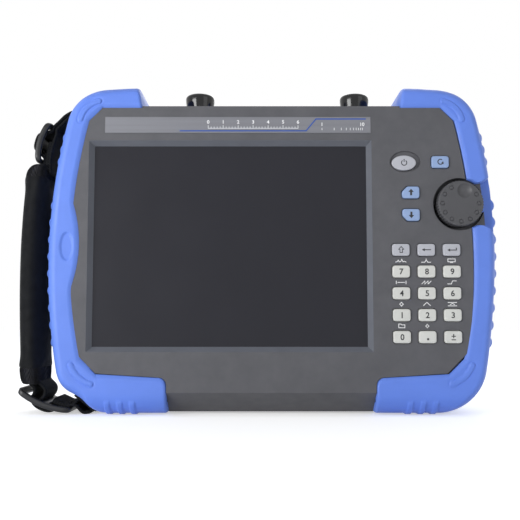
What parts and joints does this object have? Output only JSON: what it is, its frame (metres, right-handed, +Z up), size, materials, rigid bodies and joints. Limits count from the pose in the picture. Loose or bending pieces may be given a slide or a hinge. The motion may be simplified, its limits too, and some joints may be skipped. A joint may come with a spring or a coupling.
{
  "type": "handheld spectrum analyser",
  "caption": "Flat battery-powered radio test instrument with rubber end bumpers, a wide screen, a keypad, a tuning knob, capped coaxial jacks, a padded hand strap and a folding tilt stand.",
  "frame": {"origin": "on the floor it stands on, under the middle of its whole outline, hand strap included", "axes": "+X from the hand strap's side to the knob's side, +Y from the screen to the back, +Z up"},
  "size_m": [0.3214, 0.0816, 0.2232],
  "materials": {
    "case_plastic": "fine spark texture",
    "bumper_rubber": "matt moulded elastomer",
    "seal_rubber": "matt",
    "plate_foil": "brushed, printed",
    "touch_glass": "low-glare",
    "display": "unlit",
    "mat_silicone": "matt",
    "board": "solder mask",
    "screen_can": "tinned",
    "jack_metal": "nickel plated",
    "coax_metal": "bright",
    "steel": "zinc plated",
    "dark_steel": "blackened",
    "battery_wrap": "shrink wrap",
    "black_plastic": "moulded",
    "webbing": "woven",
    "buckle_plastic": "moulded",
    "neoprene": "padded",
    "knit": "ribbed",
    "knob_plastic": "moulded",
    "cap_plastic": "glossy",
    "trim_plastic": "moulded",
    "white_key": "satin",
    "grey_key": "satin",
    "blue_key": "satin"
  },
  "bodies": {
    "chassis": {"front_case": "case_plastic", "rear_case": "case_plastic", "case_seal": "seal_rubber", "left_bumper": "bumper_rubber", "right_bumper": "bumper_rubber", "name_plate": "plate_foil", "touch_panel": "touch_glass", "lcd_module": "display", "keypad_mat": "mat_silicone", "keypad_board": "board", "encoder": "screen_can", "main_board": "board", "rf_module": "screen_can", "input_jack": "jack_metal", "output_jack": "jack_metal", "jack_nuts": "jack_metal", "coax_links": "coax_metal", "battery_pack": "battery_wrap", "battery_door": "case_plastic", "door_screws": "steel", "case_screws": "dark_steel", "board_screws": "steel", "fan_frame": "black_plastic", "dc_jack": "black_plastic", "usb_port": "screen_can", "lan_port": "screen_can", "anchor_bars": "steel", "strap_webbing": "webbing", "upper_buckle": "buckle_plastic", "lower_buckle": "buckle_plastic", "grip_sleeve": "neoprene", "grip_cuffs": "knit"},
    "knob": {"tuning_knob": "knob_plastic", "encoder_shaft": "steel"},
    "input_cap": {"input_cap": "cap_plastic"},
    "output_cap": {"output_cap": "cap_plastic"},
    "port_cover": {"port_cover": "trim_plastic"},
    "tilt_stand": {"tilt_stand": "trim_plastic"},
    "fan_rotor": {"fan_rotor": "black_plastic"},
    "key_0": {"key_0": "white_key"},
    "key_point": {"key_point": "white_key"},
    "key_sign": {"key_sign": "white_key"},
    "key_1": {"key_1": "white_key"},
    "key_2": {"key_2": "white_key"},
    "key_3": {"key_3": "white_key"},
    "key_4": {"key_4": "white_key"},
    "key_5": {"key_5": "white_key"},
    "key_6": {"key_6": "white_key"},
    "key_7": {"key_7": "white_key"},
    "key_8": {"key_8": "white_key"},
    "key_9": {"key_9": "white_key"},
    "key_shift": {"key_shift": "grey_key"},
    "key_back": {"key_back": "grey_key"},
    "key_enter": {"key_enter": "grey_key"},
    "key_power": {"key_power": "grey_key"},
    "key_preset": {"key_preset": "blue_key"},
    "key_up": {"key_up": "blue_key"},
    "key_down": {"key_down": "blue_key"}
  },
  "joints": [
    {"name": "knob_turn", "type": "hinge", "parent": "chassis", "child": "knob", "pos_m": [0.13442, -0.0364, 0.1392], "axis": [0, 1, 0], "continuous": true},
    {"name": "input_cap_lift", "type": "slide", "parent": "chassis", "child": "input_cap", "axis": [0, 0, 1], "range_m": [0, 0.025]},
    {"name": "output_cap_lift", "type": "slide", "parent": "chassis", "child": "output_cap", "axis": [0, 0, 1], "range_m": [0, 0.025]},
    {"name": "port_cover_hinge", "type": "hinge", "parent": "chassis", "child": "port_cover", "pos_m": [0.01462, 0.0079, 0.2036], "axis": [-1, 0, 0], "range_deg": [0, 95]},
    {"name": "tilt_stand_hinge", "type": "hinge", "parent": "chassis", "child": "tilt_stand", "pos_m": [0.00962, 0.0365, 0.1214], "axis": [1, 0, 0], "range_deg": [0, 50]},
    {"name": "fan_turn", "type": "hinge", "parent": "chassis", "child": "fan_rotor", "pos_m": [-0.06538, 0.0366, 0.16], "axis": [0, 1, 0], "continuous": true},
    {"name": "key_0_press", "type": "slide", "parent": "chassis", "child": "key_0", "axis": [0, 1, 0], "range_m": [0, 0.0012], "stiffness_N_per_m": 300},
    {"name": "key_point_press", "type": "slide", "parent": "chassis", "child": "key_point", "axis": [0, 1, 0], "range_m": [0, 0.0012], "stiffness_N_per_m": 300},
    {"name": "key_sign_press", "type": "slide", "parent": "chassis", "child": "key_sign", "axis": [0, 1, 0], "range_m": [0, 0.0012], "stiffness_N_per_m": 300},
    {"name": "key_1_press", "type": "slide", "parent": "chassis", "child": "key_1", "axis": [0, 1, 0], "range_m": [0, 0.0012], "stiffness_N_per_m": 300},
    {"name": "key_2_press", "type": "slide", "parent": "chassis", "child": "key_2", "axis": [0, 1, 0], "range_m": [0, 0.0012], "stiffness_N_per_m": 300},
    {"name": "key_3_press", "type": "slide", "parent": "chassis", "child": "key_3", "axis": [0, 1, 0], "range_m": [0, 0.0012], "stiffness_N_per_m": 300},
    {"name": "key_4_press", "type": "slide", "parent": "chassis", "child": "key_4", "axis": [0, 1, 0], "range_m": [0, 0.0012], "stiffness_N_per_m": 300},
    {"name": "key_5_press", "type": "slide", "parent": "chassis", "child": "key_5", "axis": [0, 1, 0], "range_m": [0, 0.0012], "stiffness_N_per_m": 300},
    {"name": "key_6_press", "type": "slide", "parent": "chassis", "child": "key_6", "axis": [0, 1, 0], "range_m": [0, 0.0012], "stiffness_N_per_m": 300},
    {"name": "key_7_press", "type": "slide", "parent": "chassis", "child": "key_7", "axis": [0, 1, 0], "range_m": [0, 0.0012], "stiffness_N_per_m": 300},
    {"name": "key_8_press", "type": "slide", "parent": "chassis", "child": "key_8", "axis": [0, 1, 0], "range_m": [0, 0.0012], "stiffness_N_per_m": 300},
    {"name": "key_9_press", "type": "slide", "parent": "chassis", "child": "key_9", "axis": [0, 1, 0], "range_m": [0, 0.0012], "stiffness_N_per_m": 300},
    {"name": "key_shift_press", "type": "slide", "parent": "chassis", "child": "key_shift", "axis": [0, 1, 0], "range_m": [0, 0.0012], "stiffness_N_per_m": 300},
    {"name": "key_back_press", "type": "slide", "parent": "chassis", "child": "key_back", "axis": [0, 1, 0], "range_m": [0, 0.0012], "stiffness_N_per_m": 300},
    {"name": "key_enter_press", "type": "slide", "parent": "chassis", "child": "key_enter", "axis": [0, 1, 0], "range_m": [0, 0.0012], "stiffness_N_per_m": 300},
    {"name": "key_power_press", "type": "slide", "parent": "chassis", "child": "key_power", "axis": [0, 1, 0], "range_m": [0, 0.0012], "stiffness_N_per_m": 300},
    {"name": "key_preset_press", "type": "slide", "parent": "chassis", "child": "key_preset", "axis": [0, 1, 0], "range_m": [0, 0.0012], "stiffness_N_per_m": 300},
    {"name": "key_up_press", "type": "slide", "parent": "chassis", "child": "key_up", "axis": [0, 1, 0], "range_m": [0, 0.0012], "stiffness_N_per_m": 300},
    {"name": "key_down_press", "type": "slide", "parent": "chassis", "child": "key_down", "axis": [0, 1, 0], "range_m": [0, 0.0012], "stiffness_N_per_m": 300}
  ]
}
